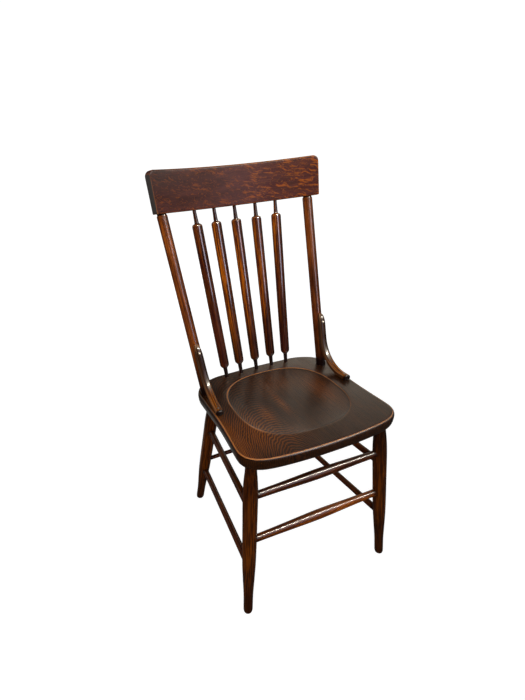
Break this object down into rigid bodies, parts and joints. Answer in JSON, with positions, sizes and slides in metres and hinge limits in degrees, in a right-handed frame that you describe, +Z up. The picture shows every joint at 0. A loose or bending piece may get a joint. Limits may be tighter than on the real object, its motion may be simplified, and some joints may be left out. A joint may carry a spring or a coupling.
{
  "type": "student desk chair",
  "caption": "Armless wooden side chair with a dished plank seat, turned splayed legs and stretchers, spindle back, bent crest rail and bent back braces.",
  "frame": {"origin": "centre of the bounding box in X and Y, on the floor", "axes": "+Z up, -Y towards the front of the seat, +X towards the right as seen from in front"},
  "size_m": [0.4446, 0.509, 0.9618],
  "materials": {
    "stained_oak": "dark walnut-brown stained oak under satin varnish, worn amber at the edges",
    "screw_steel": "dulled steel screw heads"
  },
  "bodies": {
    "root": {"seat": "stained_oak", "leg_front_left": "stained_oak", "leg_front_right": "stained_oak", "leg_rear_left": "stained_oak", "leg_rear_right": "stained_oak", "stretcher_front_upper": "stained_oak", "stretcher_front_lower": "stained_oak", "stretcher_side_upper_left": "stained_oak", "stretcher_side_upper_right": "stained_oak", "stretcher_side_lower_left": "stained_oak", "stretcher_side_lower_right": "stained_oak", "stretcher_rear": "stained_oak", "stile_left": "stained_oak", "stile_right": "stained_oak", "crest_rail": "stained_oak", "spindle_1": "stained_oak", "spindle_2": "stained_oak", "spindle_3": "stained_oak", "spindle_4": "stained_oak", "spindle_5": "stained_oak", "brace_left": "stained_oak", "brace_right": "stained_oak", "brace_screw_upper_left": "screw_steel", "brace_screw_upper_right": "screw_steel", "brace_screw_lower_left": "screw_steel", "brace_screw_lower_right": "screw_steel"}
  },
  "joints": []
}
